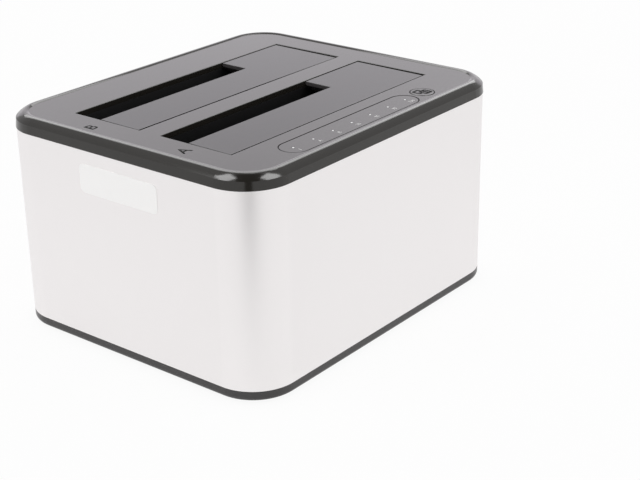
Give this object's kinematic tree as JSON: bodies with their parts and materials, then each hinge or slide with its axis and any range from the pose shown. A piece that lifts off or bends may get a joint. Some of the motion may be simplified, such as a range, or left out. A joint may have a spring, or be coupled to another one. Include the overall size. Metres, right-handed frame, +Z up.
{
  "type": "docking station",
  "caption": "Box-shaped dock for bare disk drives: satin aluminium sleeve, black top with sprung L-shaped bay flaps, status strip and round button, ports in the back.",
  "frame": {"origin": "on the table, under the middle of the case", "axes": "+X to the right along the front, +Y to the back, +Z up"},
  "size_m": [0.134, 0.1136, 0.0764],
  "materials": {
    "cover_black": "satin-gloss moulded black",
    "sleeve_aluminium": "fine blasted and anodised, satin",
    "base_black": "fine textured moulding",
    "foot_rubber": "matt",
    "well_black": "matt moulded black",
    "hinge_steel": "drawn wire",
    "screw_steel": "zinc plated",
    "board_green": "solder mask",
    "chip_black": "moulded epoxy",
    "coil_grey": "ferrite",
    "crystal_steel": "pressed can",
    "can_aluminium": "drawn can",
    "header_white": "moulded nylon",
    "cable_grey": "flat cable",
    "usb_steel": "nickel plated shell",
    "usb_blue": "moulded insulator",
    "jack_black": "moulded",
    "contact_brass": "plated contact",
    "switch_black": "moulded",
    "lead_red": "wire insulation",
    "guide_clear": "light guide",
    "led_white": "lamp package",
    "key_steel": "pressed key cover",
    "label_white": "blank label"
  },
  "bodies": {
    "case": {"aluminium_sleeve": "sleeve_aluminium", "base_cover": "base_black", "bay_screws": "screw_steel", "bay_well_a": "well_black", "bay_well_b": "well_black", "blank_label": "label_white", "board_screws": "screw_steel", "button_key": "key_steel", "cable_headers": "header_white", "capacitors": "can_aluminium", "case_screws": "screw_steel", "connector_panel": "base_black", "control_chips": "chip_black", "crystals": "crystal_steel", "dc_jack": "jack_black", "dc_pin": "contact_brass", "drive_socket_a": "jack_black", "drive_socket_b": "jack_black", "flap_pin_a": "hinge_steel", "flap_pin_b": "hinge_steel", "flap_spring_a": "hinge_steel", "flap_spring_b": "hinge_steel", "front_board": "board_green", "front_board_screws": "screw_steel", "light_guides": "guide_clear", "main_board": "board_green", "power_coils": "coil_grey", "ribbon_cable": "cable_grey", "rubber_feet": "foot_rubber", "status_leds": "led_white", "status_strip": "cover_black", "switch_housing": "switch_black", "switch_leads": "lead_red", "switch_terminals": "contact_brass", "top_cover": "cover_black", "usb_shell": "usb_steel", "usb_tongue": "usb_blue"},
    "flap_a": {"flap_a": "cover_black"},
    "flap_b": {"flap_b": "cover_black"},
    "clone_button": {"clone_button": "cover_black", "key_plunger": "chip_black"},
    "power_rocker": {"power_rocker": "switch_black"}
  },
  "joints": [
    {"name": "flap_a_hinge", "type": "hinge", "parent": "case", "child": "flap_a", "pos_m": [0, -0.0349, 0.072], "axis": [-1, 0, 0], "range_deg": [0, 92], "stiffness_Nm_per_rad": 0.004, "springref_deg": -34.38, "deforming": ["flap_spring_a"]},
    {"name": "flap_b_hinge", "type": "hinge", "parent": "case", "child": "flap_b", "pos_m": [0, 0.0042, 0.072], "axis": [-1, 0, 0], "range_deg": [0, 92], "stiffness_Nm_per_rad": 0.004, "springref_deg": -34.38, "deforming": ["flap_spring_b"]},
    {"name": "clone_button_press", "type": "slide", "parent": "case", "child": "clone_button", "axis": [0, 0, -1], "range_m": [0, 0.0005], "stiffness_N_per_m": 300, "springref_m": -0.001},
    {"name": "power_rocker_tilt", "type": "hinge", "parent": "case", "child": "power_rocker", "pos_m": [0.024, 0.0516, 0.0164], "axis": [0, 0, 1], "range_deg": [0, 16]}
  ]
}
